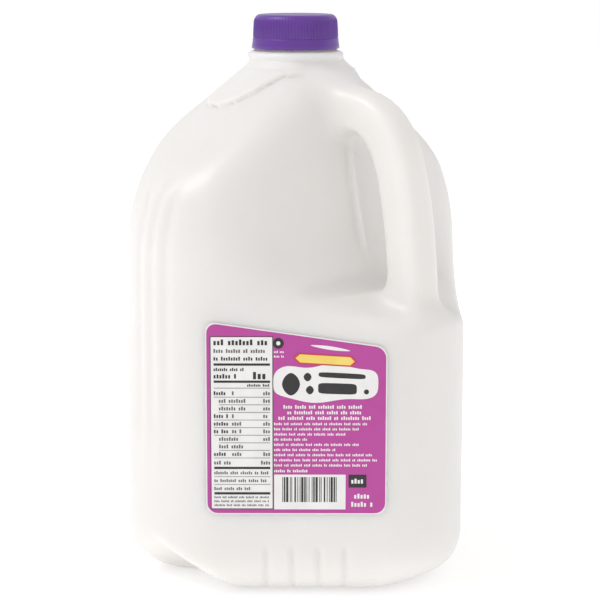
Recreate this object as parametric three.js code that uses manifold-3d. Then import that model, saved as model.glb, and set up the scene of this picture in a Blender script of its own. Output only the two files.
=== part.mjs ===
// A one-gallon blow-moulded milk jug, full and shut, in millimetres with +Z up.
// The origin is on the standing surface, under the middle of the body.
// +X points at the corner that carries the handle, and the mould's parting plane is Y = 0,
// so the four flat faces look along the diagonals between the axes.

import * as THREE from "three";
import { mergeVertices } from "three/addons/utils/BufferGeometryUtils.js";
import Module from "manifold-3d";

// Body: a square with round corners, standing on one corner in plan
const BODY_HALF_WIDTH = 75.8;
const BODY_CORNER_RADIUS = 40.6;
const BASE_EDGE_RADIUS = 23.4;

// Shoulder: from the straight walls up to the foot of the neck
const SHOULDER_START = 148;
const NECK_FOOT_HEIGHT = 231;
const NECK_FOOT_RADIUS = 26;
const SHOULDER_DROP_POWER = 2;
const SHOULDER_ROUND_POWER = 0.75;

// Neck cone: the shoulder runs up to the neck as a straight cone, given by its radius at a height
const NECK_CONE_RADIUS = 41.9;
const NECK_CONE_HEIGHT = 216;
const NECK_CONE_ANGLE = THREE.MathUtils.degToRad(51.4);
const NECK_CONE_ROUNDING = 5;

// Neck and the spout that the cap grips
const NECK_WAIST_HEIGHT = 234;
const NECK_WAIST_RADIUS = 21;
const NECK_BEAD_HEIGHT = 236.7;
const NECK_BEAD_RADIUS = 22;
const NECK_BEAD_TOP = 238.7;
const SPOUT_RADIUS = 17.9;
const SPOUT_TOP = 252.9;

// Collar: the skin is thicker round the neck, with an edge that dips to a tongue on each side
const COLLAR_THICKNESS = 1.6;
const COLLAR_EDGE_HEIGHT = 229;
const COLLAR_DIP = 14;
const COLLAR_DIP_FROM = 52;
const COLLAR_DIP_TO = 98;
const COLLAR_RISE = 6.7;
const COLLAR_RISE_FROM = 105;
const COLLAR_RISE_TO = 138;
const COLLAR_FADE_IN = [30, 50];
const COLLAR_FADE_OUT = [132, 112];

// Scoops: the two faces beside the handle are pressed in, to let the fingers round
const SCOOP_TURN = THREE.MathUtils.degToRad(38.2);
const SCOOP_MIDDLE_HEIGHT = 170.5;
const SCOOP_MIDDLE_REACH = 40.8;
const SCOOP_LEAN = 0.19;
const SCOOP_FLOOR_HEIGHT = 125.5;
const SCOOP_FLOOR_RISE = 0.15;
const SCOOP_FLOOR_FILLET = 34;
const SCOOP_EDGE_ROUNDING = 9;

// Foot: the corners are cut away between the feet under the four faces
const SIDE_NOTCH_START = 46;
const SIDE_NOTCH_RISE = 0.58;
const SIDE_NOTCH_SLOPE = 0.34;
const END_NOTCH_START = 68.4;
const END_NOTCH_SLOPE = 0.5;
const NOTCH_ROUNDING = 5;

// Handle: a tube in the parting plane, given as its middle line from the neck to the corner
const HANDLE_RADIAL_HALF = 10;
const HANDLE_CROSS_HALF = 9.5;
const HANDLE_SQUARENESS = 2.5;
const HANDLE_ROUTE = [
  [6, 214],
  [28, 214.5],
  [44, 211.5],
  [55, 204.5],
  [62.5, 194],
  [68, 179],
  [71.5, 162],
  [73.5, 146],
  [74, 131],
  [71, 110],
];
const HANDLE_FLARE = 0.7;
const HANDLE_FLARE_SHARE = 0.26;
const HANDLE_STEPS = 30;
const HANDLE_SIDES = 18;

// Web: the thin pressed sheet round the hand hole, and the hole through it
const WEB_HALF_THICKNESS = 1.2;
const WEB_OUTLINE = [
  [25, 214],
  [50, 211],
  [60, 196],
  [70, 160],
  [72, 124],
  [40, 124],
  [34, 170],
];
const HOLE_TOP = [43.2, 197];
const HOLE_BOTTOM = [54.8, 141];
const HOLE_TOP_RADIUS = 7.6;
const HOLE_BOTTOM_RADIUS = 7;

// Cap: a snap-on screw cap with a knurled side and a smooth band below
const CAP_BOTTOM = 239.5;
const CAP_TOP = 255;
const CAP_TOP_THICKNESS = 1.6;
const CAP_INNER_RADIUS = 18.2;
const CAP_SIDE_RADIUS = 19.3;
const CAP_TOP_RADIUS = 17;
const CAP_BEVEL = 2.4;
const CAP_BAND_HEIGHT = 4.2;
const CAP_BAND_RADIUS = 20.3;
const CAP_KNURLS = 60;
const CAP_KNURL_DEPTH = 0.45;

// Label: a thin sheet on the face that looks along +X -Y
const LABEL_LEFT = -38;
const LABEL_RIGHT = 39.9;
const LABEL_BOTTOM = 40.8;
const LABEL_TOP_LEFT = 125.1;
const LABEL_TOP_RIGHT = 114.1;
const LABEL_CORNER = 4.5;
const LABEL_GAP = 0.3;
const LABEL_THICKNESS = 0.35;

const ROUND_COLUMNS = 88;

function clamp01(value) {
  return Math.min(1, Math.max(0, value));
}

function easeBetween(low, high, value) {
  const t = clamp01((value - low) / (high - low));
  return t * t * (3 - 2 * t);
}

// The larger of two values, with the corner between them rounded over the given width
function roundMax(a, b, width) {
  const h = Math.max(width - Math.abs(a - b), 0) / width;
  return Math.max(a, b) + h * h * width * 0.25;
}

function roundMin(a, b, width) {
  return -roundMax(-a, -b, width);
}

// Half the width across the flat faces at a height
function halfWidth(z) {
  if (z > SHOULDER_START) {
    const rise = clamp01((z - SHOULDER_START) / (NECK_FOOT_HEIGHT - SHOULDER_START));
    const drop = (1 - rise ** SHOULDER_DROP_POWER) ** SHOULDER_ROUND_POWER;
    return NECK_FOOT_RADIUS + (BODY_HALF_WIDTH - NECK_FOOT_RADIUS) * drop;
  }
  if (z < BASE_EDGE_RADIUS) {
    const up = BASE_EDGE_RADIUS - Math.max(z, 0);
    const inset = BASE_EDGE_RADIUS - Math.sqrt(BASE_EDGE_RADIUS ** 2 - up ** 2);
    return BODY_HALF_WIDTH - inset;
  }
  return BODY_HALF_WIDTH;
}

// The corners turn from the body's radius to a full circle at the foot of the neck
function cornerRadius(half, z) {
  if (z < BASE_EDGE_RADIUS) {
    return BODY_CORNER_RADIUS - (BODY_HALF_WIDTH - half);
  }
  const squareShare = BODY_CORNER_RADIUS / BODY_HALF_WIDTH;
  const spread = easeBetween(NECK_FOOT_RADIUS, BODY_HALF_WIDTH, half);
  return half * (1 - (1 - squareShare) * spread);
}

function squareDistance(across, along, half, radius) {
  const dx = Math.abs(across) - (half - radius);
  const dy = Math.abs(along) - (half - radius);
  const outside = Math.hypot(Math.max(dx, 0), Math.max(dy, 0));
  return outside + Math.min(Math.max(dx, dy), 0) - radius;
}

// Height of the collar's lower edge at an angle from the handle, in degrees
function collarEdge(degrees) {
  const dip = COLLAR_DIP * easeBetween(COLLAR_DIP_FROM, COLLAR_DIP_TO, degrees);
  const rise = COLLAR_RISE * easeBetween(COLLAR_RISE_FROM, COLLAR_RISE_TO, degrees);
  return COLLAR_EDGE_HEIGHT - dip + rise;
}

function collarSwell(x, y, z) {
  const degrees = Math.abs(THREE.MathUtils.radToDeg(Math.atan2(y, x)));
  const edge = collarEdge(degrees);
  const share = easeBetween(...COLLAR_FADE_IN, degrees) * easeBetween(...COLLAR_FADE_OUT, degrees);
  return COLLAR_THICKNESS * share * easeBetween(edge - 1, edge + 1.5, z);
}

// Positive inside the room that one scoop clears: u runs along the face to the handle, w out
function scoopRoom(u, w, z) {
  const reach = SCOOP_MIDDLE_REACH - SCOOP_LEAN * (z - SCOOP_MIDDLE_HEIGHT);
  const wall = u * Math.sin(SCOOP_TURN) + w * Math.cos(SCOOP_TURN) - reach;
  const floor = z - SCOOP_FLOOR_HEIGHT - SCOOP_FLOOR_RISE * (BODY_HALF_WIDTH - w);
  return roundMin(wall, floor, SCOOP_FLOOR_FILLET);
}

// Positive inside the room cleared under a corner
function sideNotch(x, y, z) {
  const apex = SIDE_NOTCH_RISE * (Math.abs(y) - SIDE_NOTCH_START);
  return apex - SIDE_NOTCH_SLOPE * Math.abs(x) - z;
}

function endNotch(x, z) {
  return END_NOTCH_SLOPE * (Math.abs(x) - END_NOTCH_START) - z;
}

function neckConeRadius(z) {
  return NECK_CONE_RADIUS - Math.tan(NECK_CONE_ANGLE) * (z - NECK_CONE_HEIGHT);
}

// Negative under the neck cone
function neckCone(x, y, z) {
  return Math.cos(NECK_CONE_ANGLE) * (Math.hypot(x, y) - neckConeRadius(z));
}

// Negative inside the jug's body, without its handle
function bodyDistance(x, y, z) {
  const across = (x - y) * Math.SQRT1_2;
  const along = (x + y) * Math.SQRT1_2;
  const half = halfWidth(z);
  let value = squareDistance(across, along, half, cornerRadius(half, z));
  value = roundMax(value, neckCone(x, y, z), NECK_CONE_ROUNDING);
  value = roundMax(value, scoopRoom(along, across, z), SCOOP_EDGE_ROUNDING);
  value = roundMax(value, scoopRoom(across, along, z), SCOOP_EDGE_ROUNDING);
  value = roundMax(value, sideNotch(x, y, z), NOTCH_ROUNDING);
  value = roundMax(value, endNotch(x, z), NOTCH_ROUNDING);
  return value - collarSwell(x, y, z);
}

// Radius of the body's skin at an angle and a height
function skinRadius(angle, z) {
  const cos = Math.cos(angle);
  const sin = Math.sin(angle);
  let inner = 0;
  let outer = BODY_HALF_WIDTH * 1.5;
  for (let step = 0; step < 40; step += 1) {
    const middle = (inner + outer) / 2;
    if (bodyDistance(middle * cos, middle * sin, z) < 0) {
      inner = middle;
    } else {
      outer = middle;
    }
  }
  return (inner + outer) / 2;
}

// Closed solid from rings of points that are stacked upwards, all with the same number of points
function stackedSolid(rings) {
  const count = rings[0].length;
  const positions = [];
  for (const ring of rings) {
    for (const point of ring) {
      positions.push(...point);
    }
  }
  const middleOf = (ring) => {
    const sum = ring.reduce((a, p) => [a[0] + p[0], a[1] + p[1], a[2] + p[2]], [0, 0, 0]);
    return sum.map((value) => value / count);
  };
  const bottom = positions.length / 3;
  positions.push(...middleOf(rings[0]));
  positions.push(...middleOf(rings[rings.length - 1]));
  const faces = [];
  for (let row = 0; row + 1 < rings.length; row += 1) {
    for (let i = 0; i < count; i += 1) {
      const next = (i + 1) % count;
      const a = row * count + i;
      const b = row * count + next;
      const c = a + count;
      const d = b + count;
      faces.push(a, b, d, a, d, c);
    }
  }
  const lastRow = (rings.length - 1) * count;
  for (let i = 0; i < count; i += 1) {
    const next = (i + 1) % count;
    faces.push(bottom, next, i);
    faces.push(bottom + 1, lastRow + i, lastRow + next);
  }
  const geometry = new THREE.BufferGeometry();
  geometry.setAttribute("position", new THREE.Float32BufferAttribute(positions, 3));
  geometry.setIndex(faces);
  return geometry;
}

function evenSteps(from, to, count) {
  return Array.from({ length: count }, (_, i) => from + ((to - from) * i) / count);
}

// Heights of the body's rings: close where the skin bends, wide where it is straight
function bodyHeights() {
  const shoulderRise = NECK_FOOT_HEIGHT - SHOULDER_START;
  const foot = [0, 0.1, 0.27, 0.5, 0.75, 1].map((share) => share * BASE_EDGE_RADIUS);
  const wall = [20, 26, 33, 60, 88, 108];
  const floor = evenSteps(116, SHOULDER_START, 12);
  const shoulder = evenSteps(0, 1, 19).map((share) => {
    const eased = 1 - (1 - share) ** 1.5;
    return SHOULDER_START + shoulderRise * eased;
  });
  return [...foot, ...wall, ...floor, ...shoulder];
}

function circleRing(radius, z) {
  return evenSteps(0, Math.PI * 2, ROUND_COLUMNS).map((angle) => [
    radius * Math.cos(angle),
    radius * Math.sin(angle),
    z,
  ]);
}

function bodyGeometry() {
  const angles = evenSteps(0, Math.PI * 2, ROUND_COLUMNS);
  const rings = bodyHeights().map((z) =>
    angles.map((angle) => {
      const radius = skinRadius(angle, z);
      return [radius * Math.cos(angle), radius * Math.sin(angle), z];
    })
  );
  rings.push(circleRing(neckConeRadius(NECK_FOOT_HEIGHT), NECK_FOOT_HEIGHT));
  rings.push(circleRing(NECK_WAIST_RADIUS, NECK_WAIST_HEIGHT));
  rings.push(circleRing(NECK_BEAD_RADIUS, NECK_BEAD_HEIGHT - 1));
  rings.push(circleRing(NECK_BEAD_RADIUS, NECK_BEAD_HEIGHT + 1));
  rings.push(circleRing(SPOUT_RADIUS, NECK_BEAD_TOP));
  rings.push(circleRing(SPOUT_RADIUS, SPOUT_TOP));
  return stackedSolid(rings);
}

// A rounded rectangle between an ellipse and a box, as the handle's cross-section
function handleSection(centre, forward, outFlare, crossFlare) {
  const side = new THREE.Vector3(0, 1, 0);
  const radial = new THREE.Vector3().crossVectors(side, forward).normalize();
  return evenSteps(0, Math.PI * 2, HANDLE_SIDES).map((angle) => {
    const cos = Math.cos(angle);
    const sin = Math.sin(angle);
    const power = 2 / HANDLE_SQUARENESS;
    const out = HANDLE_RADIAL_HALF * outFlare * Math.sign(cos) * Math.abs(cos) ** power;
    const across = HANDLE_CROSS_HALF * crossFlare * Math.sign(sin) * Math.abs(sin) ** power;
    const point = centre.clone().addScaledVector(radial, out).addScaledVector(side, across);
    return [point.x, point.y, point.z];
  });
}

function handleGeometry() {
  const points = HANDLE_ROUTE.map(([x, z]) => new THREE.Vector3(x, 0, z)).reverse();
  const route = new THREE.CatmullRomCurve3(points, false, "centripetal");
  const rings = [];
  for (let step = 0; step <= HANDLE_STEPS; step += 1) {
    const share = step / HANDLE_STEPS;
    const foot = HANDLE_FLARE * easeBetween(HANDLE_FLARE_SHARE, 0, share);
    const root = HANDLE_FLARE * easeBetween(1 - HANDLE_FLARE_SHARE, 1, share);
    const centre = route.getPointAt(share);
    rings.push(handleSection(centre, route.getTangentAt(share), 1 + foot, 1 + foot + root));
  }
  return stackedSolid(rings);
}

// The pressed sheet with the hand hole through it, drawn in the XZ plane
function webGeometry() {
  const sheet = new THREE.Shape(WEB_OUTLINE.map(([x, z]) => new THREE.Vector2(x, z)));
  const hole = new THREE.Path();
  const lean = Math.atan2(HOLE_BOTTOM[0] - HOLE_TOP[0], HOLE_TOP[1] - HOLE_BOTTOM[1]);
  hole.absarc(...HOLE_TOP, HOLE_TOP_RADIUS, lean, lean + Math.PI, false);
  hole.absarc(...HOLE_BOTTOM, HOLE_BOTTOM_RADIUS, lean + Math.PI, lean + Math.PI * 2, false);
  hole.closePath();
  sheet.holes.push(hole);
  const geometry = new THREE.ExtrudeGeometry(sheet, {
    depth: WEB_HALF_THICKNESS * 2,
    bevelEnabled: false,
    curveSegments: 10,
  });
  geometry.rotateX(Math.PI / 2);
  geometry.translate(0, WEB_HALF_THICKNESS, 0);
  return geometry;
}

const wasm = await Module();
wasm.setup();

function toSolid(geometry) {
  const plain = geometry.clone();
  plain.deleteAttribute("normal");
  plain.deleteAttribute("uv");
  const merged = mergeVertices(plain, 1e-4);
  return new wasm.Manifold(
    new wasm.Mesh({
      numProp: 3,
      vertProperties: new Float32Array(merged.attributes.position.array),
      triVerts: new Uint32Array(merged.index.array),
    })
  );
}

function toGeometry(solid) {
  const mesh = solid.getMesh();
  const geometry = new THREE.BufferGeometry();
  geometry.setAttribute("position", new THREE.BufferAttribute(mesh.vertProperties, 3));
  geometry.setIndex(new THREE.BufferAttribute(mesh.triVerts, 1));
  geometry.computeVertexNormals();
  return geometry;
}

function jugGeometry() {
  const body = toSolid(bodyGeometry());
  const handle = toSolid(handleGeometry());
  const web = toSolid(webGeometry());
  return toGeometry(body.add(handle).add(web));
}

// The cap's section from the rim of its skirt, up outside and down again inside
function capOutline() {
  const bandTop = CAP_BOTTOM + CAP_BAND_HEIGHT;
  const ceiling = CAP_TOP - CAP_TOP_THICKNESS;
  return {
    outside: [
      [CAP_BAND_RADIUS - 0.4, CAP_BOTTOM, 0],
      [CAP_BAND_RADIUS, CAP_BOTTOM + 0.6, 0],
      [CAP_BAND_RADIUS - 0.3, bandTop - 0.3, 0],
      [CAP_SIDE_RADIUS, bandTop, 0],
      [CAP_SIDE_RADIUS, bandTop + 0.8, 1],
      [CAP_SIDE_RADIUS, CAP_TOP - CAP_BEVEL, 1],
      [CAP_SIDE_RADIUS - 0.7, CAP_TOP - CAP_BEVEL * 0.45, 0],
      [CAP_TOP_RADIUS, CAP_TOP, 0],
    ],
    inside: [
      [CAP_INNER_RADIUS, ceiling, 0],
      [CAP_INNER_RADIUS, CAP_BOTTOM, 0],
    ],
  };
}

function capRing(radius, z, knurled) {
  const count = CAP_KNURLS * 2;
  return evenSteps(0, Math.PI * 2, count).map((angle, i) => {
    const ridge = knurled && i % 2 === 1 ? CAP_KNURL_DEPTH : 0;
    return [(radius - ridge) * Math.cos(angle), (radius - ridge) * Math.sin(angle), z];
  });
}

function capGeometry() {
  const { outside, inside } = capOutline();
  const shell = toSolid(stackedSolid(outside.map((row) => capRing(...row))));
  const hollow = inside.map(([radius, z]) => capRing(radius, z, 0)).reverse();
  hollow[0] = capRing(CAP_INNER_RADIUS, CAP_BOTTOM - 1, 0);
  return toGeometry(shell.subtract(toSolid(stackedSolid(hollow))));
}

// Height of the label's edge at a place along it, with its corners rounded
function labelEdge(along, isTop) {
  const share = (along - LABEL_LEFT) / (LABEL_RIGHT - LABEL_LEFT);
  const straight = isTop
    ? LABEL_TOP_LEFT + (LABEL_TOP_RIGHT - LABEL_TOP_LEFT) * share
    : LABEL_BOTTOM;
  const toSide = Math.min(along - LABEL_LEFT, LABEL_RIGHT - along);
  const inCorner = Math.max(LABEL_CORNER - toSide, 0);
  const cut = LABEL_CORNER - Math.sqrt(Math.max(LABEL_CORNER ** 2 - inCorner ** 2, 0));
  return isTop ? straight - cut : straight + cut;
}

// A point over the label's face, where the last stretch follows the body's round corner
function overFace(along, lift) {
  const flatEnd = BODY_HALF_WIDTH - BODY_CORNER_RADIUS;
  const past = Math.max(Math.abs(along) - flatEnd, 0);
  const turn = past / BODY_CORNER_RADIUS;
  const radius = BODY_CORNER_RADIUS + lift;
  const reach = Math.sign(along) * (Math.min(Math.abs(along), flatEnd) + radius * Math.sin(turn));
  const out = flatEnd + radius * Math.cos(turn);
  return [(out + reach) * Math.SQRT1_2, (reach - out) * Math.SQRT1_2];
}

function labelGeometry() {
  const cornerSteps = [0, 0.08, 0.3, 0.6, 1].map((share) => share * LABEL_CORNER);
  const inner = evenSteps(LABEL_LEFT + LABEL_CORNER, LABEL_RIGHT - LABEL_CORNER, 14).slice(1);
  const places = [
    ...cornerSteps.map((step) => LABEL_LEFT + step),
    ...inner,
    ...cornerSteps.map((step) => LABEL_RIGHT - step).reverse(),
  ];
  const rings = places.map((along) => {
    const low = labelEdge(along, false);
    const high = labelEdge(along, true);
    const [backX, backY] = overFace(along, LABEL_GAP);
    const [frontX, frontY] = overFace(along, LABEL_GAP + LABEL_THICKNESS);
    return [
      [frontX, frontY, low],
      [backX, backY, low],
      [backX, backY, high],
      [frontX, frontY, high],
    ];
  });
  return stackedSolid(rings);
}

function namedMesh(name, geometry, look) {
  const mesh = new THREE.Mesh(geometry, new THREE.MeshStandardMaterial(look));
  mesh.name = name;
  return mesh;
}

const milkJug = new THREE.Group();
milkJug.add(namedMesh("jug", jugGeometry(), { color: 0xf0eeea, roughness: 0.42, metalness: 0 }));
milkJug.add(namedMesh("cap", capGeometry(), { color: 0x6f4ba0, roughness: 0.4, metalness: 0 }));
milkJug.add(namedMesh("label", labelGeometry(), { color: 0xb54a99, roughness: 0.35, metalness: 0 }));

export default milkJug;
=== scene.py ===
"""Looks for a full one-gallon plastic milk jug: its skin, its snap cap and its printed label.

The jug's skin is one smooth surface. jug_distance() says how far a point lies outside it, and
the surface is laid through the points where that is zero. Lengths in the shape functions are
millimetres in the frame's own axes: +Z up, +X towards the handle, parting plane Y = 0.
"""

import math

import bpy
import numpy as np
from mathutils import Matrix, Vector


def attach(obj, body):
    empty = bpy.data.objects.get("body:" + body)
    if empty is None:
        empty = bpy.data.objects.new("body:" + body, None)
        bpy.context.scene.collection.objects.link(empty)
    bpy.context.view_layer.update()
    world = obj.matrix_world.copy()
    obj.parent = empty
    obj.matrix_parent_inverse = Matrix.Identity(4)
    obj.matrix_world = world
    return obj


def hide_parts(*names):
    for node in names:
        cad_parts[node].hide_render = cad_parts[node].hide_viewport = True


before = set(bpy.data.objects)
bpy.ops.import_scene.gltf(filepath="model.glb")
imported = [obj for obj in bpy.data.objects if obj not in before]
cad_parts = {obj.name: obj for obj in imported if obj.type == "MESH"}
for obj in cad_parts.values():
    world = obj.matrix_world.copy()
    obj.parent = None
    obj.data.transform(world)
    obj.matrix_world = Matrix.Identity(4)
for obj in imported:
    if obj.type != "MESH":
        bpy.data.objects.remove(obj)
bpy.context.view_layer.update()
MM = 0.001

# Body: a square with round corners, standing on one corner in plan
BODY_HALF_WIDTH = 75.8
BODY_CORNER_RADIUS = 40.6
BASE_EDGE_RADIUS = 23.4
BASE_EDGE_SOFTNESS = 1.0

# Bulge of the three unlabelled faces: height where it starts, its run, and where it fades out
FACE_CROWN = 0.7
CROWN_LOW = 8.0
CROWN_RUN = 150.0
CROWN_FADE = (40.0, 60.0)

# Shoulder
SHOULDER_START = 148.0
NECK_FOOT_HEIGHT = 231.0
NECK_FOOT_RADIUS = 26.0
SHOULDER_DROP_POWER = 2.0
SHOULDER_ROUND_POWER = 0.70
SHOULDER_TOP_OVER = 2.0
SHOULDER_TOP_ROUNDING = 2.0

# Neck cone: the shoulder runs up to the neck as a straight cone, given by its radius at a height
NECK_CONE_RADIUS = 41.9
NECK_CONE_HEIGHT = 216.0
NECK_CONE_ANGLE = math.radians(51.4)
NECK_CONE_ROUNDING = 5.0

# Neck
NECK_WAIST_HEIGHT = 234.0
NECK_WAIST_RADIUS = 21.0
NECK_FLARE = 2.0
NECK_FLARE_RUN = 5.0
NECK_FILLET = 3.0
NECK_BEAD_HEIGHT = 236.7
NECK_BEAD_RADIUS = 22.0
NECK_BEAD_HALF = 1.2
SPOUT_RADIUS = 17.9
SPOUT_TOP = 253.0
SPOUT_STEP = (1.0, 2.6)

# Collar
COLLAR_THICKNESS = 2.0
COLLAR_STEP = (-0.4, 0.8)
COLLAR_EDGE_HEIGHT = 229.0
COLLAR_DIP = 14.0
COLLAR_DIP_SPAN = (52.0, 98.0)
COLLAR_RISE = 6.7
COLLAR_RISE_SPAN = (105.0, 138.0)
COLLAR_FADE_IN = (30.0, 50.0)
COLLAR_FADE_OUT = (132.0, 112.0)

# Scoops beside the handle
SCOOP_TURN = math.radians(38.2)
SCOOP_MIDDLE_HEIGHT = 170.5
SCOOP_MIDDLE_REACH = 40.8
SCOOP_LEAN = 0.19
SCOOP_FLOOR_HEIGHT = 125.5
SCOOP_FLOOR_RISE = 0.15
SCOOP_FLOOR_FILLET = 34.0
SCOOP_EDGE_ROUNDING = 9.0

# Cuts under the four corners of the base
SIDE_NOTCH_START = 46.0
SIDE_NOTCH_RISE = 0.58
SIDE_NOTCH_SLOPE = 0.34
END_NOTCH_START = 68.4
END_NOTCH_SLOPE = 0.5
NOTCH_ROUNDING = 5.0

# Handle: middle line in the parting plane as (x, z), from the neck to the corner
HANDLE_RADIAL_HALF = 10.0
HANDLE_CROSS_HALF = 9.5
HANDLE_SECTION_POWER = 3.0
HANDLE_STEPS = 3
HANDLE_ROUTE = [
    (6, 214), (28, 214.5), (46, 212), (57, 205.5), (64, 194.5),
    (68.5, 179), (71.5, 162), (73.2, 146), (73.8, 131), (71, 110),
]
HANDLE_BLEND = 11.0
WEB_HALF_THICKNESS = 1.3
WEB_REACH = 9.0
WEB_FILLET = 2.0
HOLE_TOP = (43.2, 197.0)
HOLE_BOTTOM = (54.8, 141.0)
HOLE_RADII = (7.6, 7.0)
HOLE_EDGE_ROUNDING = 1.5

# Grooves round the two side corners, and short ones at the foot of each face
CORNER_GROOVES = [(0.0, 199.0), (8.2, 188.0), (-8.2, 188.0)]
CORNER_GROOVE_HALF = 2.3
CORNER_GROOVE_DEPTH = 1.1
CORNER_GROOVE_FADE = (40.0, 120.0)
CORNER_GROOVE_END = 16.0
CORNER_GROOVE_FROM_Y = 30.0
FOOT_GROOVES = (-13.1, -1.4, 10.3, 21.8)
FOOT_GROOVE_HALF = 1.35
FOOT_GROOVE_DEPTH = 1.3
FOOT_GROOVE_TOP = 27.0
FOOT_GROOVE_END = 6.0
FOOT_GROOVE_FACE = (52.0, 58.0)

# Skin mesh
CELL = 1.5
GRID_LOW = (-93.0, -93.0, -3.0)
GRID_HIGH = (93.0, 93.0, 259.0)
GRID_SLAB = 16
SMOOTH_ROUNDS = 2
NEWTON_ROUNDS = 4

# Cap
CAP_BOTTOM = 239.5
CAP_TOP = 255.0
CAP_KNURLS = 84
CAP_STEPS_A_KNURL = 8
CAP_KNURL_DEPTH = 0.42
CAP_BAND_HEIGHT = 4.6
CAP_INNER_RADIUS = 18.3

# Label on the face that looks along +X -Y: u along the face towards the handle, z up
LABEL = {"left": -38.8, "right": 40.2, "bottom": 39.9, "top_left": 126.1, "top_right": 114.9}
LABEL_CORNER = 4.5
LABEL_BORDER = 0.55
# Height of each layer over the face, from the sheet's back to the four layers of print
SHEET_LIFT = 0.3
PAPER_TOP = 0.5
FIELD_TOP = 0.56
PRINT_LOW = 0.45
PRINT_TOPS = (0.60, 0.64, 0.68, 0.72)
LABEL_SLOPE = (LABEL["top_right"] - LABEL["top_left"]) / (LABEL["right"] - LABEL["left"])
RIBBON_SLOPE = -0.06

# Facts panel on the label's left: white with a black frame, rules and rows of small ticks
PANEL = {"left": -36.4, "right": -9.7, "bottom": 42.6, "top": 119.2}
PANEL_FRAME = 0.35
PANEL_THICK_RULES = (107.1, 99.5, 60.9, 49.4)
PANEL_ROW_TOP = 92.6
PANEL_ROW_PITCH = 3.4
PANEL_ROW_COUNT = 9
PANEL_BOLD_ROWS = (0, 3, 4, 5, 8)
PANEL_INSET_ROWS = (1, 2, 6, 7)
PANEL_INSET = 2.2

# Rows of ticks stand for small print: nothing in them is a letter. Widths go with the height.
TICK_WIDTH = 0.62 / 1.5
TICK_GAP = 0.33 / 1.5
WORD_GAP = 0.95 / 1.5
WORD_LENGTHS = (5, 3, 7, 4, 6, 2, 8, 4)
TICK_HEIGHTS = (1.0, 0.74, 0.74, 1.0, 0.74, 0.86, 0.74)

# Bar block at the label's foot
BARS = {"left": -5.4, "right": 19.3, "bottom": 45.5, "top": 56.8}
BAR_MODULE = 0.33
BAR_PATTERN = (1, 1, 2, 1, 3, 2, 1, 1, 1, 3, 2, 2, 1, 2, 1, 1, 3, 1, 2, 1, 1, 2, 1, 3)

# Camera: distance from the jug's axis, height, turn from the label's face, and lens
CAMERA_DISTANCE = 950.0
CAMERA_HEIGHT = 290.7
CAMERA_OFF_DIAGONAL = math.radians(-0.3)
CAMERA_PITCH = 0.1726
PICTURE_SIZE = 600
FOCAL_PIXELS = 2057.0
LENS_AXIS_PIXEL = (295.6, 293.5)
SENSOR_WIDTH = 36.0

# Stage and light, in metres and watts
FLOOR_REACH = 60.0
AIM_POINT = (0.0, 0.0, 0.13)
WORLD_STRENGTH = 0.76
KEY_LIGHT = ((-0.65, -1.2, 2.0), (0.8, 0.8), 17.0)
FAR_FILL_LIGHT = ((0.9, 1.5, 0.7), (0.9, 0.9), 0.9)


def clamp01(value):
    return np.clip(value, 0.0, 1.0)


def ease_between(low, high, value):
    t = clamp01((value - low) / (high - low))
    return t * t * (3.0 - 2.0 * t)


def round_max(a, b, width):
    """The larger of two values, with the corner between them rounded over the width."""
    h = np.maximum(width - np.abs(a - b), 0.0) / width
    return np.maximum(a, b) + h * h * width * 0.25


def round_min(a, b, width):
    return -round_max(-a, -b, width)


def bell(value, half):
    """1 in the middle of a groove, 0 from its edges on."""
    t = clamp01(np.abs(value) / (2.0 * half))
    return (1.0 - t * t) ** 2


def half_width(z):
    rise = clamp01((z - SHOULDER_START) / (NECK_FOOT_HEIGHT - SHOULDER_START))
    drop = (1.0 - rise**SHOULDER_DROP_POWER) ** SHOULDER_ROUND_POWER
    shoulder = NECK_FOOT_RADIUS + (BODY_HALF_WIDTH - NECK_FOOT_RADIUS) * drop
    up = np.clip(BASE_EDGE_RADIUS - z, 0.0, BASE_EDGE_RADIUS)
    inset = BASE_EDGE_RADIUS - np.sqrt(BASE_EDGE_RADIUS**2 - up**2)
    return np.where(z > SHOULDER_START, shoulder, BODY_HALF_WIDTH - inset)


def corner_radius(half, z):
    square_share = BODY_CORNER_RADIUS / BODY_HALF_WIDTH
    spread = ease_between(NECK_FOOT_RADIUS, BODY_HALF_WIDTH, half)
    upper = half * (1.0 - (1.0 - square_share) * spread)
    return np.where(z < BASE_EDGE_RADIUS, BODY_CORNER_RADIUS - (BODY_HALF_WIDTH - half), upper)


def square_distance(across, along, half, radius):
    dx = np.abs(across) - (half - radius)
    dy = np.abs(along) - (half - radius)
    outside = np.hypot(np.maximum(dx, 0.0), np.maximum(dy, 0.0))
    return outside + np.minimum(np.maximum(dx, dy), 0.0) - radius


def scoop_room(u, w, z):
    """Positive in the room that one scoop clears: u along the face to the handle, w out."""
    reach = SCOOP_MIDDLE_REACH - SCOOP_LEAN * (z - SCOOP_MIDDLE_HEIGHT)
    wall = u * math.sin(SCOOP_TURN) + w * math.cos(SCOOP_TURN) - reach
    floor = z - SCOOP_FLOOR_HEIGHT - SCOOP_FLOOR_RISE * (BODY_HALF_WIDTH - w)
    return round_min(wall, floor, SCOOP_FLOOR_FILLET)


def base_cuts(x, y, z):
    side = SIDE_NOTCH_RISE * (np.abs(y) - SIDE_NOTCH_START) - SIDE_NOTCH_SLOPE * np.abs(x) - z
    end = END_NOTCH_SLOPE * (np.abs(x) - END_NOTCH_START) - z
    return side, end


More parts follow.
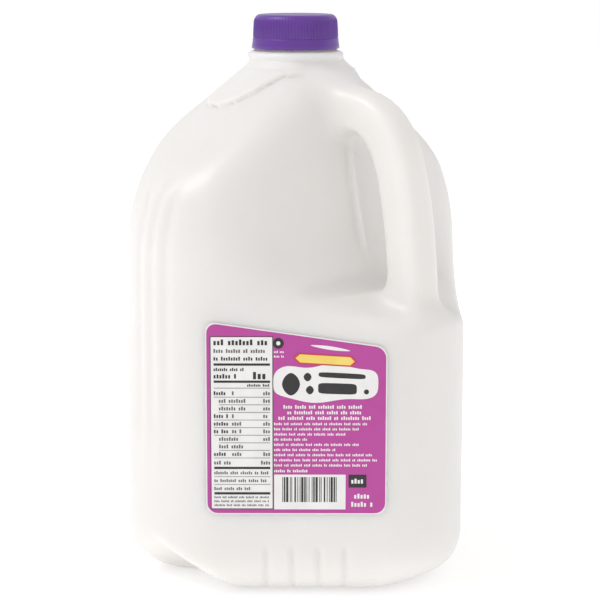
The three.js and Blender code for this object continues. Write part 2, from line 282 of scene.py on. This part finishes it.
def corner_grooves(x, y, z):
    """Depth of the upright grooves round the two side corners."""
    depth = np.zeros_like(x)
    fade = ease_between(*CORNER_GROOVE_FADE, z) * (np.abs(y) > CORNER_GROOVE_FROM_Y)
    for place, top in CORNER_GROOVES:
        end = ease_between(top, top - CORNER_GROOVE_END, z)
        half = CORNER_GROOVE_HALF * 0.5 * (1.0 + end)
        depth = np.maximum(depth, bell(x - place, half) * end)
    return CORNER_GROOVE_DEPTH * depth * fade


def foot_grooves(across, along, z):
    """Depth of the short grooves at the foot of each flat face."""
    up = ease_between(FOOT_GROOVE_TOP, FOOT_GROOVE_TOP - FOOT_GROOVE_END, z)
    depth = np.zeros_like(across)
    for place in FOOT_GROOVES:
        for run, out in ((along, across), (across, along)):
            near = ease_between(*FOOT_GROOVE_FACE, np.abs(out))
            depth = np.maximum(depth, bell(run - place, FOOT_GROOVE_HALF) * near)
    return FOOT_GROOVE_DEPTH * depth * up


def face_crown(across, along, z):
    """How far the milk presses the three unlabelled faces out."""
    up = np.sin(np.pi * clamp01((z - CROWN_LOW) / CROWN_RUN)) ** 2
    crown = np.zeros_like(across)
    for run, out in ((along, -across), (across, along), (across, -along)):
        flat = clamp01(1.0 - (run / BODY_HALF_WIDTH) ** 2) ** 2
        crown = np.maximum(crown, flat * ease_between(*CROWN_FADE, out))
    return FACE_CROWN * crown * up


def collar_edge(degrees):
    dip = COLLAR_DIP * ease_between(*COLLAR_DIP_SPAN, degrees)
    rise = COLLAR_RISE * ease_between(*COLLAR_RISE_SPAN, degrees)
    return COLLAR_EDGE_HEIGHT - dip + rise


def neck_radius(z):
    """Radius of the neck above the shoulder: waist, bead and spout."""
    below = clamp01((NECK_WAIST_HEIGHT - z) / NECK_FLARE_RUN)
    flare = NECK_WAIST_RADIUS + NECK_FLARE * below**2
    bead = bell(z - NECK_BEAD_HEIGHT, NECK_BEAD_HALF) * (NECK_BEAD_RADIUS - NECK_WAIST_RADIUS)
    spout = ease_between(*SPOUT_STEP, z - NECK_BEAD_HEIGHT)
    return flare + bead - (NECK_WAIST_RADIUS - SPOUT_RADIUS) * spout


def body_distance(x, y, z):
    across = (x - y) * math.sqrt(0.5)
    along = (x + y) * math.sqrt(0.5)
    radial = np.hypot(x, y)
    degrees = np.degrees(np.abs(np.arctan2(y, x)))
    half = half_width(z)
    value = square_distance(across, along, half, corner_radius(half, z))
    value = value - face_crown(across, along, z)
    value = value + corner_grooves(x, y, z) + foot_grooves(across, along, z)
    cone_radius = NECK_CONE_RADIUS - math.tan(NECK_CONE_ANGLE) * (z - NECK_CONE_HEIGHT)
    cone = math.cos(NECK_CONE_ANGLE) * (radial - cone_radius)
    value = round_max(value, cone, NECK_CONE_ROUNDING)
    value = round_max(value, z - NECK_FOOT_HEIGHT - SHOULDER_TOP_OVER, SHOULDER_TOP_ROUNDING)
    value = round_max(value, scoop_room(along, across, z), SCOOP_EDGE_ROUNDING)
    value = round_max(value, scoop_room(across, along, z), SCOOP_EDGE_ROUNDING)
    side, end = base_cuts(x, y, z)
    value = round_max(value, side, NOTCH_ROUNDING)
    value = round_max(value, end, NOTCH_ROUNDING)
    value = round_max(value, -z, BASE_EDGE_SOFTNESS)
    edge = collar_edge(degrees)
    share = ease_between(*COLLAR_FADE_IN, degrees) * ease_between(*COLLAR_FADE_OUT, degrees)
    collar = COLLAR_THICKNESS * share * ease_between(*COLLAR_STEP, z - edge)
    neck = np.maximum(radial - neck_radius(z), z - SPOUT_TOP)
    return round_min(value - collar, neck, NECK_FILLET)


def route_points(count):
    """Points along the handle's middle line, through the route's points."""
    route = np.array(HANDLE_ROUTE, float)
    ends = np.vstack([2 * route[0] - route[1], route, 2 * route[-1] - route[-2]])
    out = []
    for i in range(len(route) - 1):
        a, b, c, d = ends[i : i + 4]
        for t in np.linspace(0.0, 1.0, count, endpoint=False):
            out.append(
                0.5 * (2 * b + (c - a) * t + (2 * a - 5 * b + 4 * c - d) * t**2
                       + (3 * b - a - 3 * c + d) * t**3)
            )
    out.append(route[-1])
    return np.array(out)


def handle_distance(x, y, z):
    """Distance outside the handle's tube, whose section is a rounded rectangle."""
    points = route_points(HANDLE_STEPS)
    best = np.full(x.shape, 1e3)
    for a, b in zip(points[:-1], points[1:]):
        span = b - a
        share = clamp01(((x - a[0]) * span[0] + (z - a[1]) * span[1]) / span.dot(span))
        best = np.minimum(best, np.hypot(x - a[0] - share * span[0], z - a[1] - share * span[1]))
    out = best / HANDLE_RADIAL_HALF
    cross = np.abs(y) / HANDLE_CROSS_HALF
    power = HANDLE_SECTION_POWER
    return ((out**power + cross**power) ** (1 / power) - 1.0) * HANDLE_CROSS_HALF


def hole_distance(x, z):
    """Distance outside the hand hole's outline in the parting plane, a tapered pill."""
    top = np.array(HOLE_TOP)
    span = np.array(HOLE_BOTTOM) - top
    share = clamp01(((x - top[0]) * span[0] + (z - top[1]) * span[1]) / span.dot(span))
    radius = HOLE_RADII[0] + (HOLE_RADII[1] - HOLE_RADII[0]) * share
    return np.hypot(x - top[0] - share * span[0], z - top[1] - share * span[1]) - radius


def jug_distance(x, y, z):
    handle = handle_distance(x, y, z)
    value = round_min(body_distance(x, y, z), handle, HANDLE_BLEND)
    hole = hole_distance(x, z)
    web = np.maximum(np.abs(y) - WEB_HALF_THICKNESS, hole - WEB_REACH)
    value = round_min(value, web, WEB_FILLET)
    return round_max(value, -hole, HOLE_EDGE_ROUNDING)


def grid_values(low, counts):
    """jug_distance on the grid, one slab of heights at a time."""
    xs, ys, zs = (low[i] + CELL * np.arange(counts[i]) for i in range(3))
    values = np.empty(counts, np.float32)
    for start in range(0, counts[2], GRID_SLAB):
        slab = slice(start, start + GRID_SLAB)
        values[:, :, slab] = jug_distance(*np.meshgrid(xs, ys, zs[slab], indexing="ij"))
    return values


def laid_surface(values, low):
    """Vertices and quads of the zero surface: one vertex in each cell that it crosses."""
    inside = values < 0.0
    total = np.zeros([n - 1 for n in values.shape] + [3])
    count = np.zeros([n - 1 for n in values.shape], np.int32)
    crossings = []
    for axis in range(3):
        head = [slice(None)] * 3
        tail = [slice(None)] * 3
        head[axis] = slice(None, -1)
        tail[axis] = slice(1, None)
        a, b = values[tuple(head)], values[tuple(tail)]
        places = np.argwhere(inside[tuple(head)] != inside[tuple(tail)])
        va, vb = a[tuple(places.T)], b[tuple(places.T)]
        points = places.astype(float)
        points[:, axis] += va / (va - vb)
        crossings.append((axis, places, va < 0.0))
        others = [i for i in range(3) if i != axis]
        for shift in ((0, 0), (0, 1), (1, 0), (1, 1)):
            cell = places.copy()
            cell[:, others[0]] -= shift[0]
            cell[:, others[1]] -= shift[1]
            np.add.at(total, tuple(cell.T), points)
            np.add.at(count, tuple(cell.T), 1)
    used = count > 0
    index = np.full(count.shape, -1, np.int64)
    index[used] = np.arange(used.sum())
    vertices = total[used] / count[used][:, None] * CELL + np.array(low)
    quads = []
    for axis, places, starts_inside in crossings:
        first, second = [(1, 2), (2, 0), (0, 1)][axis]
        ring = []
        for shift in ((1, 1), (0, 1), (0, 0), (1, 0)):
            cell = places.copy()
            cell[:, first] -= shift[0]
            cell[:, second] -= shift[1]
            ring.append(index[tuple(cell.T)])
        faces = np.stack(ring, axis=1)
        faces[~starts_inside] = faces[~starts_inside][:, ::-1]
        quads.append(faces)
    return vertices, np.concatenate(quads)


def slope_at(points):
    """Slope of jug_distance at each point, by small steps along each axis."""
    step = 0.05
    columns = []
    for axis in range(3):
        ahead = points.copy()
        behind = points.copy()
        ahead[:, axis] += step
        behind[:, axis] -= step
        columns.append((jug_distance(*ahead.T) - jug_distance(*behind.T)) / (2 * step))
    return np.stack(columns, axis=1)


def drawn_to_surface(points):
    """Moves each point along the slope until it lies on the zero surface."""
    for _ in range(NEWTON_ROUNDS):
        slope = slope_at(points)
        away = jug_distance(*points.T) / np.maximum((slope**2).sum(axis=1), 0.2)
        points = points - np.clip(away, -1.0, 1.0)[:, None] * slope
    return points


def evened(points, quads):
    """Moves each vertex part of the way to the middle of its neighbours."""
    total = np.zeros_like(points)
    count = np.zeros(len(points))
    for i in range(4):
        a, b = quads[:, i], quads[:, (i + 1) % 4]
        np.add.at(total, a, points[b])
        np.add.at(total, b, points[a])
        np.add.at(count, a, 1)
        np.add.at(count, b, 1)
    return points * 0.5 + total / count[:, None] * 0.5


def in_scene(name, data):
    obj = bpy.data.objects.new(name, data)
    bpy.context.scene.collection.objects.link(obj)
    return obj


def new_mesh(name, vertices_mm, faces, smooth=True):
    mesh = bpy.data.meshes.new(name)
    corners = [[int(i) for i in face] for face in faces]
    mesh.from_pydata((np.asarray(vertices_mm) * MM).tolist(), [], corners)
    mesh.validate()
    mesh.polygons.foreach_set("use_smooth", [smooth] * len(mesh.polygons))
    mesh.update()
    return in_scene(name, mesh)


def make_skin():
    counts = [int((high - low) / CELL) + 2 for low, high in zip(GRID_LOW, GRID_HIGH)]
    vertices, quads = laid_surface(grid_values(GRID_LOW, counts), GRID_LOW)
    vertices = drawn_to_surface(vertices)
    for _ in range(SMOOTH_ROUNDS):
        vertices = drawn_to_surface(evened(vertices, quads))
    vertices[:, 2] = np.maximum(vertices[:, 2], 0.0)
    return new_mesh("jug_skin", vertices, quads)


def lathe(name, rows, count, radius_at):
    """Closed round body from (radius, height) rows, shut on the axis under the first and last."""
    vertices = []
    faces = []
    for row, (radius, height) in enumerate(rows):
        for i in range(count):
            angle = 2 * math.pi * i / count
            reach = radius_at(row, i, radius)
            vertices.append((reach * math.cos(angle), reach * math.sin(angle), height))
    for row in range(len(rows) - 1):
        for i in range(count):
            j = (i + 1) % count
            a, b = row * count + i, row * count + j
            faces.append((a, b, b + count, a + count))
    bottom, top = len(vertices), len(vertices) + 1
    vertices += [(0, 0, rows[0][1]), (0, 0, rows[-1][1])]
    last = (len(rows) - 1) * count
    for i in range(count):
        j = (i + 1) % count
        faces.append((bottom, j, i))
        faces.append((top, last + i, last + j))
    return new_mesh(name, vertices, faces)


def make_cap():
    """Knurled side, a small ledge, and a band that flares to its open rim."""
    band_top = CAP_BOTTOM + CAP_BAND_HEIGHT
    knurl_low, knurl_high = band_top + 0.6, CAP_TOP - 2.6
    inner = CAP_INNER_RADIUS
    # Radius, height and share of the knurls' depth, from inside the crown down and up again
    rows = [
        (inner, CAP_TOP - 1.8, 0), (inner, CAP_BOTTOM + 0.2, 0), (inner + 0.3, CAP_BOTTOM, 0),
        (19.9, CAP_BOTTOM, 0), (20.2, CAP_BOTTOM + 0.25, 0), (20.0, CAP_BOTTOM + 1.6, 0),
        (19.75, CAP_BOTTOM + 3.2, 0), (19.7, band_top - 0.25, 0), (19.6, band_top, 0),
        (19.3, band_top + 0.05, 0), (19.25, band_top + 0.2, 0.3),
        (19.35, knurl_low, 1), (19.2, (knurl_low + knurl_high) / 2, 1),
        (19.0, knurl_high - 0.4, 1),
        (18.85, knurl_high + 0.3, 0.6), (18.55, knurl_high + 1.1, 0.15),
        (18.1, knurl_high + 1.75, 0), (17.5, knurl_high + 2.2, 0), (16.8, CAP_TOP - 0.1, 0),
        (16.0, CAP_TOP, 0), (12.0, CAP_TOP - 0.15, 0), (6.0, CAP_TOP - 0.2, 0),
        (1.0, CAP_TOP - 0.2, 0),
    ]

    def knurled(row, i, radius):
        phase = (i % CAP_STEPS_A_KNURL) / CAP_STEPS_A_KNURL
        dip = abs(math.sin(math.pi * phase)) ** 1.6
        return radius + CAP_KNURL_DEPTH * rows[row][2] * (0.5 - dip)

    return lathe("cap_shell", [r[:2] for r in rows], CAP_KNURLS * CAP_STEPS_A_KNURL, knurled)


def over_face(u, lift):
    """The frame's x, y of a point over the label's face, bent round the body's corners."""
    flat_end = BODY_HALF_WIDTH - BODY_CORNER_RADIUS
    past = max(abs(u) - flat_end, 0.0)
    turn = past / BODY_CORNER_RADIUS
    radius = BODY_CORNER_RADIUS + lift
    reach = math.copysign(min(abs(u), flat_end) + radius * math.sin(turn), u)
    out = flat_end + radius * math.cos(turn)
    return (out + reach) * math.sqrt(0.5), (reach - out) * math.sqrt(0.5)


def label_edge(u, is_top, shrink):
    """Height of the label's edge at u, with round corners, drawn in by shrink."""
    left, right = LABEL["left"] + shrink, LABEL["right"] - shrink
    in_corner = max(LABEL_CORNER - min(u - left, right - u), 0.0)
    cut = LABEL_CORNER - math.sqrt(max(LABEL_CORNER**2 - in_corner**2, 0.0))
    if is_top:
        return LABEL["top_left"] + LABEL_SLOPE * (u - LABEL["left"]) - shrink - cut
    return LABEL["bottom"] + shrink + cut


def make_sheet(name, shrink, low_lift, high_lift):
    """The label's whole outline as one sheet, drawn in by shrink."""
    left, right = LABEL["left"] + shrink, LABEL["right"] - shrink
    corner = [LABEL_CORNER * (1 - math.cos(math.pi / 2 * i / 6)) for i in range(7)]
    inner = list(np.linspace(left + LABEL_CORNER, right - LABEL_CORNER, 40)[1:-1])
    places = [left + c for c in corner] + inner + [right - c for c in reversed(corner)]
    columns = [(u, label_edge(u, False, shrink), label_edge(u, True, shrink)) for u in places]
    return stamped([(columns, high_lift)], low_lift, name)


def stamped(shapes, low_lift, name):
    """One mesh from flat shapes on the label's face, each (columns, top).

    A column is (u, low, high); top is how far the shape's front stands off the face.
    """
    vertices = []
    faces = []
    for columns, top in shapes:
        first = len(vertices)
        for u, low, high in columns:
            outer, inner = over_face(u, top), over_face(u, low_lift)
            vertices += [(*outer, low), (*inner, low), (*inner, high), (*outer, high)]
        for r in range(len(columns) - 1):
            for i in range(4):
                a, b = first + r * 4 + i, first + r * 4 + (i + 1) % 4
                faces.append((a, b, b + 4, a + 4))
        last = first + (len(columns) - 1) * 4
        faces.append((first + 3, first + 2, first + 1, first))
        faces.append((last, last + 1, last + 2, last + 3))
    return new_mesh(name, vertices, faces, smooth=False)


def bar(left, right, low, high, layer, slope=0.0):
    """A straight bar, in columns close enough to follow the face."""
    count = max(2, int((right - left) / 4.0) + 2)
    return [(u, low + slope * (u - left), high + slope * (u - left))
            for u in np.linspace(left, right, count)], PRINT_TOPS[layer]


def blob(centre, halves, power, layer, slope=0.0):
    """A rounded field: an oval at power 2, nearly a box with round corners at power 5."""
    columns = []
    for angle in np.linspace(0.0, math.pi, 25):
        share = -math.cos(angle)
        reach = halves[1] * max(1.0 - abs(share) ** power, 4e-4) ** (1.0 / power)
        u = centre[0] + halves[0] * share
        middle = centre[1] + slope * halves[0] * share
        columns.append((u, middle - reach, middle + reach))
    return columns, PRINT_TOPS[layer]


def wavy_field(centre, halves, layer):
    """A wide field whose upper and lower edges swell in slow waves."""
    columns = []
    for angle in np.linspace(0.0, math.pi, 49):
        share = -math.cos(angle)
        reach = halves[1] * max(1.0 - abs(share) ** 3.4, 4e-4) ** (1.0 / 3.4)
        upper = reach * (1.0 + 0.12 * math.sin(6.3 * share + 0.6))
        lower = reach * (1.0 + 0.10 * math.sin(5.1 * share + 2.6))
        columns.append((centre[0] + halves[0] * share, centre[1] - lower, centre[1] + upper))
    return columns, PRINT_TOPS[layer]


def lozenge(left, right, low, high, point, layer, slope):
    """A bar with pointed ends."""
    middle = (low + high) / 2
    half = (high - low) / 2
    columns = []
    for u in [left, *np.linspace(left + point, right - point, 8), right]:
        reach = half if left < u < right else 0.02
        at = middle + slope * (u - left)
        columns.append((u, at - reach, at + reach))
    return columns, PRINT_TOPS[layer]


def tick_row(left, right, middle, height, layer, start=0):
    """Small print as a row of plain ticks, gathered into words."""
    shapes = []
    wide = TICK_WIDTH * height
    low = middle - height / 2
    u = left
    word = start
    number = start
    while u < right - wide:
        for _ in range(WORD_LENGTHS[word % len(WORD_LENGTHS)]):
            if u > right - wide:
                break
            tall = height * TICK_HEIGHTS[number % len(TICK_HEIGHTS)]
            shapes.append(bar(u, u + wide, low, low + tall, layer))
            u += wide + TICK_GAP * height
            number += 1
        u += WORD_GAP * height
        word += 1
    return shapes


def panel_bold():
    """Black print on the white facts panel: the heading, the thick rules and the bold rows."""
    left, right = PANEL["left"] + 1.2, PANEL["right"] - 1.0
    shapes = []
    shapes += tick_row(left, right - 0.3, 116.9, 2.5, 2, 1)
    shapes += tick_row(left, right - 0.8, 109.7, 1.7, 2, 5)
    for height in PANEL_THICK_RULES:
        shapes.append(bar(left, right, height - 0.5, height + 0.5, 2))
    shapes += tick_row(left, left + 13.5, 104.9, 1.4, 2, 2)
    shapes += tick_row(left, left + 10.5, 101.9, 2.0, 2, 4)
    shapes += tick_row(right - 7.4, right, 102.2, 3.2, 2, 0)
    shapes += tick_row(right - 10.0, right, 97.9, 1.2, 2, 6)
    for row in PANEL_BOLD_ROWS:
        middle = PANEL_ROW_TOP - PANEL_ROW_PITCH * row + 1.75
        shapes += tick_row(left, left + 7.0, middle, 1.7, 2, row)
    return shapes


def panel_light():
    """Grey print on the white facts panel: thin rules and light rows."""
    left, right = PANEL["left"] + 1.2, PANEL["right"] - 1.0
    shapes = tick_row(left, right - 1.6, 113.1, 1.7, 2, 3)
    shapes.append(bar(left, right, 96.5, 96.75, 2))
    for row in range(PANEL_ROW_COUNT):
        rule = PANEL_ROW_TOP - PANEL_ROW_PITCH * row
        inset = PANEL_INSET if row in PANEL_INSET_ROWS else 0.0
        shapes.append(bar(left + inset, right, rule - 0.12, rule + 0.12, 2))
        length = 9.0 + 4.0 * math.sin(2.1 * row) ** 2
        first = left + (inset if inset else 7.9)
        shapes += tick_row(first, left + inset + length, rule + 1.75, 1.7, 2, row)
        if row != 7:
            shapes += tick_row(right - 3.0, right, rule + 1.75, 1.7, 2, row + 2)
    shapes += tick_row(left, left + 7.5, 63.3, 1.7, 2, 1)
    shapes += tick_row(right - 4.0, right, 63.3, 1.7, 2, 3)
    for height, start in ((58.7, 2), (55.2, 5), (51.6, 7)):
        shapes += tick_row(left, right - (8.0 if start == 7 else 0.6), height, 1.4, 2, start)
        shapes.append(bar(left, right, height - 1.85, height - 1.63, 2))
    for height, start in ((47.7, 0), (45.9, 3), (44.1, 6)):
        shapes += tick_row(left, right - 0.4, height, 0.95, 2, start)
    return shapes


def bar_block():
    """Upright bars of four widths across the white block."""
    shapes = []
    u = BARS["left"]
    number = 0
    while True:
        wide = BAR_MODULE * BAR_PATTERN[number % len(BAR_PATTERN)]
        if u + wide > BARS["right"]:
            return shapes
        if number % 2 == 0:
            shapes.append(bar(u, u + wide, BARS["bottom"], BARS["top"], 1))
        u += wide
        number += 1


def white_print():
    """White rows and fields on the magenta."""
    shapes = [
        bar(PANEL["left"], PANEL["right"], PANEL["bottom"], PANEL["top"], 1),
        bar(-9.0, 22.3, 42.2, 57.9, 0),
        wavy_field((13.5, 98.8), (22.8, 7.9), 1),
        *tick_row(24.8, 30.4, 55.0, 2.2, 1, 2),
        blob((-7.1, 116.5), (0.9, 0.9), 2.0, 1),
        blob((15.5, 114.4), (8.6, 0.8), 1.6, 0, LABEL_SLOPE),
    ]
    shapes += tick_row(-9.0, -4.6, 112.7, 1.0, 0, 1)
    shapes += tick_row(-9.0, -4.2, 110.7, 1.0, 0, 3)
    for left, right, middle in ((-4.9, 31.2, 88.3), (-3.2, 29.5, 85.8), (-7.1, 33.8, 83.3)):
        shapes += tick_row(left, right, middle, 1.6, 0, int(right))
    ends = (31.6, 28.2, 22.3, 5.7, 28.2, 18.5, 34.2, 36.5, 32.1)
    for row, right in enumerate(ends):
        shapes += tick_row(-9.0, right, 80.7 - 2.32 * row, 1.15, 0, row * 3)
    shapes += tick_row(-9.0, 6.5, 59.6, 1.3, 0, 4)
    shapes += tick_row(26.1, 33.8, 48.2, 2.2, 0, 2)
    shapes += tick_row(24.8, 35.0, 44.5, 2.2, 0, 0)
    return shapes


def black_print():
    """Black fields: the panel's frame, the disc, the upright bars and the big motif."""
    sides = (PANEL["left"] - PANEL_FRAME, PANEL["right"] + PANEL_FRAME)
    shapes = [
        bar(*sides, PANEL["bottom"] - PANEL_FRAME, PANEL["top"] + PANEL_FRAME, 0),
        blob((-7.1, 116.5), (2.4, 2.4), 2.0, 0),
        bar(23.6, 31.4, 52.1, 57.9, 0),
        blob((-1.6, 98.4), (3.9, 5.0), 1.7, 2),
        blob((5.6, 101.6), (1.7, 1.9), 1.7, 2),
        blob((6.6, 95.8), (1.7, 1.9), 1.7, 2),
        blob((20.6, 102.2), (10.2, 1.15), 5.0, 2, -0.05),
        blob((18.6, 96.4), (8.4, 2.4), 6.0, 2, -0.03),
        blob((31.2, 95.0), (1.1, 1.1), 2.0, 2),
    ]
    return shapes + bar_block() + panel_bold()


def scene_material(name):
    material = bpy.data.materials.new(name)
    material.use_nodes = True
    tree = material.node_tree
    return material, tree, tree.nodes["Principled BSDF"]


def add_noise(tree, scale, detail):
    where = tree.nodes.new("ShaderNodeTexCoord")
    noise = tree.nodes.new("ShaderNodeTexNoise")
    noise.inputs["Scale"].default_value = scale
    noise.inputs["Detail"].default_value = detail
    tree.links.new(where.outputs["Object"], noise.inputs["Vector"])
    return noise


def tint_by_noise(tree, shader, scale, detail, low, high):
    """Base colour that drifts from low to high in soft patches."""
    ramp = tree.nodes.new("ShaderNodeValToRGB")
    for element, place, tint in zip(ramp.color_ramp.elements, (0.35, 0.65), (low, high)):
        element.position = place
        element.color = (*tint, 1)
    tree.links.new(add_noise(tree, scale, detail).outputs["Fac"], ramp.inputs["Fac"])
    tree.links.new(ramp.outputs["Color"], shader.inputs["Base Color"])


def add_grain(tree, shader, scale, strength, distance):
    """Fine surface grain as bump; distance in metres."""
    bump = tree.nodes.new("ShaderNodeBump")
    bump.inputs["Strength"].default_value = strength
    bump.inputs["Distance"].default_value = distance
    tree.links.new(add_noise(tree, scale, 2.0).outputs["Fac"], bump.inputs["Height"])
    tree.links.new(bump.outputs["Normal"], shader.inputs["Normal"])


def milk_plastic():
    material, tree, shader = scene_material("milk_plastic")
    tint_by_noise(tree, shader, 14.0, 3.0, (0.79, 0.772, 0.75), (0.82, 0.803, 0.782))
    shader.inputs["Roughness"].default_value = 0.36
    shader.inputs["Subsurface Weight"].default_value = 0.75
    shader.inputs["Subsurface Radius"].default_value = (1.0, 0.9, 0.8)
    shader.inputs["Subsurface Scale"].default_value = 0.010
    shader.inputs["Specular IOR Level"].default_value = 0.4
    add_grain(tree, shader, 700.0, 0.18, 0.0003)
    return material


def purple_plastic():
    material, tree, shader = scene_material("purple_plastic")
    tint_by_noise(tree, shader, 60.0, 2.0, (0.108, 0.030, 0.275), (0.124, 0.036, 0.305))
    shader.inputs["Roughness"].default_value = 0.32
    shader.inputs["Subsurface Weight"].default_value = 0.1
    shader.inputs["Subsurface Scale"].default_value = 0.001
    add_grain(tree, shader, 1500.0, 0.12, 0.0002)
    return material


def print_ink(name, low, high):
    material, tree, shader = scene_material(name)
    tint_by_noise(tree, shader, 120.0, 3.0, low, high)
    shader.inputs["Roughness"].default_value = 0.4
    add_grain(tree, shader, 2500.0, 0.05, 0.0001)
    return material


def dressed(obj, material, slot, *nodes):
    obj.data.materials.append(material)
    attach(obj, "root")
    if nodes:
        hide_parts(*nodes)


dressed(make_skin(), milk_plastic(), "jug", "jug")
dressed(make_cap(), purple_plastic(), "cap", "cap")
magenta = print_ink("ink_magenta", (0.46, 0.050, 0.31), (0.475, 0.056, 0.325))
paper = print_ink("ink_white", (0.80, 0.79, 0.78), (0.85, 0.84, 0.83))
black = print_ink("ink_black", (0.012, 0.011, 0.013), (0.022, 0.020, 0.022))
grey = print_ink("ink_grey", (0.10, 0.095, 0.10), (0.13, 0.125, 0.13))
yellow = print_ink("ink_yellow", (0.86, 0.62, 0.12), (0.90, 0.68, 0.17))
red = print_ink("ink_red", (0.52, 0.045, 0.05), (0.58, 0.06, 0.06))
dressed(make_sheet("label_paper", 0.0, SHEET_LIFT, PAPER_TOP), paper, "label", "label")
dressed(make_sheet("label_field", LABEL_BORDER, SHEET_LIFT + 0.05, FIELD_TOP), magenta, "label")
for piece, shapes, ink in (
    ("label_white_print", white_print(), paper),
    ("label_black_print", black_print(), black),
    ("label_grey_print", panel_light(), grey),
    ("label_ribbon_edge", [lozenge(-0.6, 27.0, 107.6, 112.4, 2.2, 2, RIBBON_SLOPE)], red),
    ("label_ribbon", [lozenge(0.4, 26.0, 108.2, 111.8, 1.9, 3, RIBBON_SLOPE)], yellow),
):
    dressed(stamped(shapes, PRINT_LOW, piece), ink, "label")


def place_camera():
    angle = -(math.pi / 4 + CAMERA_OFF_DIAGONAL)
    toward = np.array([math.cos(angle), math.sin(angle)])
    data = bpy.data.cameras.new("camera")
    data.sensor_width = SENSOR_WIDTH
    data.lens = FOCAL_PIXELS / PICTURE_SIZE * SENSOR_WIDTH
    data.clip_start = 0.05
    camera = in_scene("camera", data)
    camera.location = Vector((*(toward * CAMERA_DISTANCE), CAMERA_HEIGHT)) * MM
    # The lens axis meets the picture beside its middle, as in a picture that was cropped
    data.shift_x = (PICTURE_SIZE / 2 - LENS_AXIS_PIXEL[0]) / PICTURE_SIZE
    data.shift_y = (LENS_AXIS_PIXEL[1] - PICTURE_SIZE / 2) / PICTURE_SIZE
    level = math.cos(CAMERA_PITCH)
    look = Vector((-toward[0] * level, -toward[1] * level, -math.sin(CAMERA_PITCH)))
    camera.rotation_euler = look.to_track_quat("-Z", "Y").to_euler()
    bpy.context.scene.camera = camera


def add_floor():
    mesh = bpy.data.meshes.new("floor")
    signs = ((-1, -1), (1, -1), (1, 1), (-1, 1))
    corners = [(a * FLOOR_REACH, b * FLOOR_REACH, 0) for a, b in signs]
    mesh.from_pydata(corners, [], [(0, 1, 2, 3)])
    floor = in_scene("floor", mesh)
    material, tree, shader = scene_material("floor_paper")
    tint_by_noise(tree, shader, 6.0, 2.0, (0.925, 0.925, 0.925), (0.935, 0.935, 0.935))
    shader.inputs["Roughness"].default_value = 0.9
    shader.inputs["Specular IOR Level"].default_value = 0.1
    shader.inputs["Emission Color"].default_value = (1.0, 1.0, 1.0, 1)
    shader.inputs["Emission Strength"].default_value = 0.3
    floor.data.materials.append(material)


def add_softbox(name, place, size, power):
    light = bpy.data.lights.new(name, "AREA")
    light.shape = "RECTANGLE"
    light.size, light.size_y = size
    light.energy = power
    obj = in_scene(name, light)
    obj.location = place
    aim = Vector(AIM_POINT) - Vector(place)
    obj.rotation_euler = aim.to_track_quat("-Z", "Y").to_euler()


def light_the_stage():
    world = bpy.data.worlds.new("studio")
    world.use_nodes = True
    bpy.context.scene.world = world
    sky = world.node_tree.nodes["Background"]
    sky.inputs["Color"].default_value = (1.0, 1.0, 1.0, 1)
    sky.inputs["Strength"].default_value = WORLD_STRENGTH
    add_softbox("key", *KEY_LIGHT)
    add_softbox("far_fill", *FAR_FILL_LIGHT)
    bpy.context.scene.view_settings.view_transform = "Standard"


place_camera()
add_floor()
light_the_stage()
